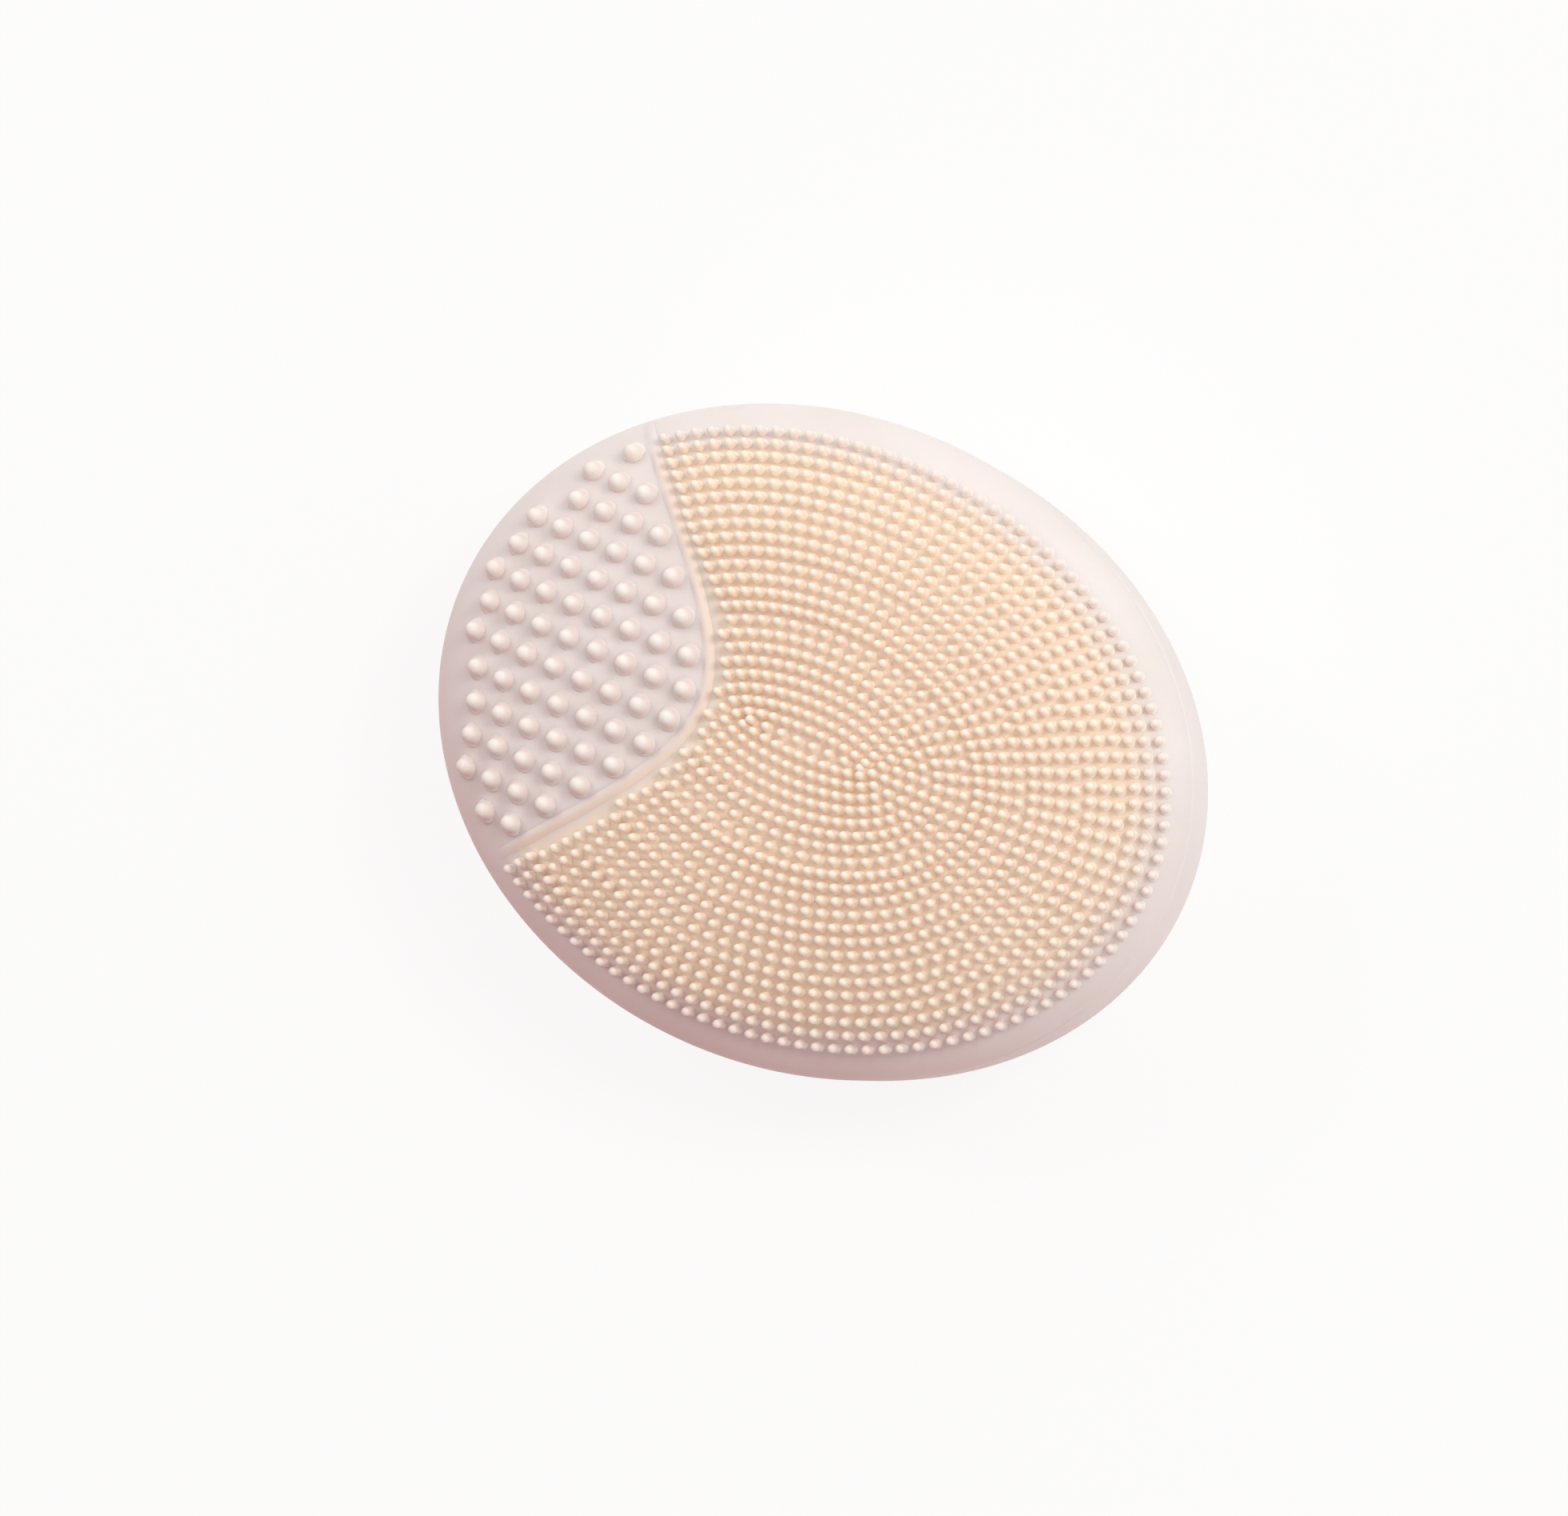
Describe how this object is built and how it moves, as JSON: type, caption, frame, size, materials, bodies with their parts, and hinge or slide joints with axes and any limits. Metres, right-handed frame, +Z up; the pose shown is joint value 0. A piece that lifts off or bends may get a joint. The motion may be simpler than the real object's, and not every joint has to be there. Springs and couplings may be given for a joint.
{
  "type": "silicone face brush",
  "caption": "Oval palm-size powered face brush with a domed silicone face of fine bristle rings, a wedge of thick bristles at the tip and buttons in the flat back.",
  "frame": {"origin": "middle of the flat back that the brush lies on", "axes": "+X along the length from the thick-bristled tip to the round end, +Z up out of the bristled face"},
  "size_m": [0.082, 0.067, 0.029],
  "materials": {
    "front_silicone": "satin pearl silicone",
    "rear_silicone": "satin pearl silicone",
    "shell_plastic": "matte moulded plastic",
    "seal_rubber": "matte rubber",
    "board_laminate": "solder-masked laminate",
    "black_plastic": "matte moulded plastic",
    "cell_wrap": "shrink-wrapped cell",
    "foam": "closed-cell foam",
    "clear_plastic": "clear moulded plastic",
    "steel": "plated steel",
    "brass": "bare or gold-plated brass",
    "red_insulation": "wire insulation",
    "black_insulation": "wire insulation"
  },
  "bodies": {
    "housing": {"front_skin": "front_silicone", "rear_skin": "rear_silicone", "front_shell": "shell_plastic", "rear_shell": "shell_plastic", "motor_bracket": "shell_plastic", "shell_seal": "seal_rubber", "motor_boot": "seal_rubber", "main_board": "board_laminate", "controller_chip": "black_plastic", "pin_holder": "black_plastic", "power_switch": "black_plastic", "plus_switch": "black_plastic", "minus_switch": "black_plastic", "motor_cap": "black_plastic", "battery_cell": "cell_wrap", "battery_pad": "foam", "light_guide": "clear_plastic", "status_led": "clear_plastic", "motor_can": "steel", "bracket_screw_left": "steel", "bracket_screw_right": "steel", "board_screw_left": "steel", "board_screw_right": "steel", "shell_screw_end_left": "steel", "shell_screw_end_right": "steel", "shell_screw_tip_left": "steel", "shell_screw_tip_right": "steel", "charge_pin_left": "brass", "charge_pin_right": "brass", "motor_lead_red": "red_insulation", "battery_lead_red": "red_insulation", "motor_lead_black": "black_insulation", "battery_lead_black": "black_insulation"},
    "power_button": {"power_button": "rear_silicone", "power_plunger": "clear_plastic"},
    "plus_button": {"plus_button": "rear_silicone", "plus_plunger": "clear_plastic"},
    "minus_button": {"minus_button": "rear_silicone", "minus_plunger": "clear_plastic"},
    "rotor": {"motor_shaft": "steel", "eccentric_weight": "brass"}
  },
  "joints": [
    {"name": "power_press", "type": "slide", "parent": "housing", "child": "power_button", "axis": [0, 0, 1], "range_m": [0, 0.0004], "stiffness_N_per_m": 600},
    {"name": "plus_press", "type": "slide", "parent": "housing", "child": "plus_button", "axis": [0, 0, 1], "range_m": [0, 0.0004], "stiffness_N_per_m": 600},
    {"name": "minus_press", "type": "slide", "parent": "housing", "child": "minus_button", "axis": [0, 0, 1], "range_m": [0, 0.0004], "stiffness_N_per_m": 600},
    {"name": "rotor_spin", "type": "hinge", "parent": "housing", "child": "rotor", "pos_m": [-0.0115, 0, 0.01738], "axis": [1, 0, 0], "continuous": true}
  ]
}
